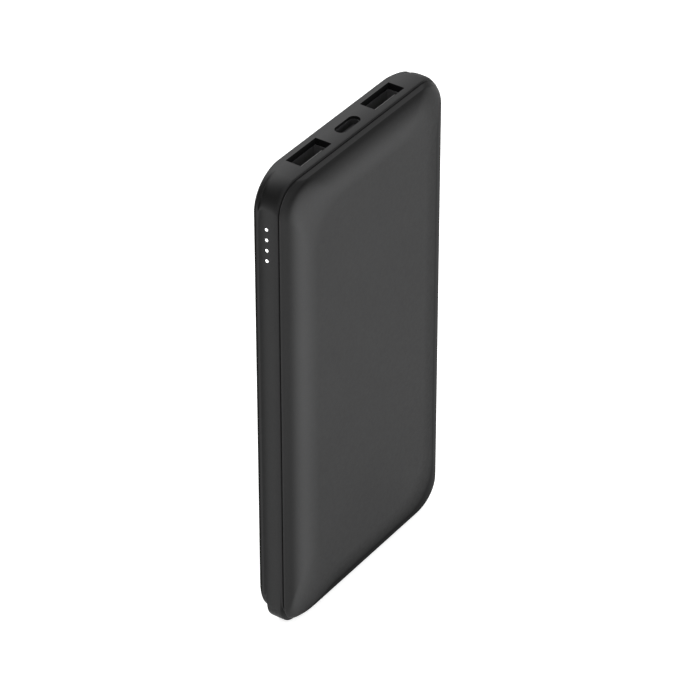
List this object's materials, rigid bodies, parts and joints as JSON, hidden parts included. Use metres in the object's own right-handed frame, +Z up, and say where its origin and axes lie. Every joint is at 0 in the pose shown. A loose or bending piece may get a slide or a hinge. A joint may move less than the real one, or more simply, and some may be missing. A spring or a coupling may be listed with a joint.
{
  "type": "power bank",
  "caption": "Slim pillow-shaped portable battery pack with sockets in its top end, level lights on one side and a push button on the other.",
  "frame": {"origin": "middle of the bottom end's bounding rectangle, where the pack stands on its narrow lower flat", "axes": "+Z up the long way to the sockets, -Y out of the front cover, -X to the side with the level lights"},
  "size_m": [0.0722, 0.0148, 0.1412],
  "materials": {
    "case": "fine moulded matte black",
    "frame_plastic": "moulded",
    "pouch": "laminated pouch",
    "foam": "closed-cell foam",
    "nickel": "bright strip",
    "lead_red": "silicone insulation",
    "lead_black": "silicone insulation",
    "sensor": "epoxy bead",
    "board": "solder mask",
    "screw_steel": "zinc plated",
    "sheet": "insulating film",
    "port_steel": "drawn sheet",
    "port_plastic": "moulded",
    "gold": "plated",
    "led": "ceramic package",
    "light_guide": "lit white",
    "button": "fine moulded matte black",
    "switch": "moulded",
    "plunger": "moulded",
    "inductor": "sintered ferrite",
    "chip": "moulded package",
    "capacitor": "can and ceramic"
  },
  "bodies": {
    "body": {"front_cover": "case", "back_shell": "case", "inner_frame": "frame_plastic", "battery_cell_left": "pouch", "battery_cell_right": "pouch", "front_foam_pad": "foam", "back_foam_pad": "foam", "cell_tabs": "nickel", "positive_link": "nickel", "negative_link": "nickel", "battery_lead_positive": "lead_red", "battery_lead_negative": "lead_black", "thermistor": "sensor", "main_board": "board", "board_screws": "screw_steel", "insulation_sheet": "sheet", "usb_a_left_shell": "port_steel", "usb_a_right_shell": "port_steel", "usb_c_shell": "port_steel", "usb_a_left_tongue": "port_plastic", "usb_a_right_tongue": "port_plastic", "usb_c_tongue": "port_plastic", "usb_a_left_contacts": "gold", "usb_a_right_contacts": "gold", "usb_c_contacts": "gold", "level_leds": "led", "light_guide": "light_guide", "switch_body": "switch", "power_inductor": "inductor", "charge_controller": "chip", "power_mosfets": "chip", "protection_chip": "chip", "capacitors": "capacitor", "resistors": "chip"},
    "button": {"power_button": "button"},
    "plunger": {"switch_plunger": "plunger"}
  },
  "joints": [
    {"name": "power_button_press", "type": "slide", "parent": "body", "child": "button", "axis": [-1, 0, 0], "range_m": [0, 0.00035], "stiffness_N_per_m": 2500, "springref_m": -0.0003},
    {"name": "switch_plunger_press", "type": "slide", "parent": "body", "child": "plunger", "axis": [-1, 0, 0], "range_m": [0, 0.00035]}
  ],
  "couplings": [
    {"joint": "switch_plunger_press", "follows": "power_button_press", "ratio": 1}
  ]
}
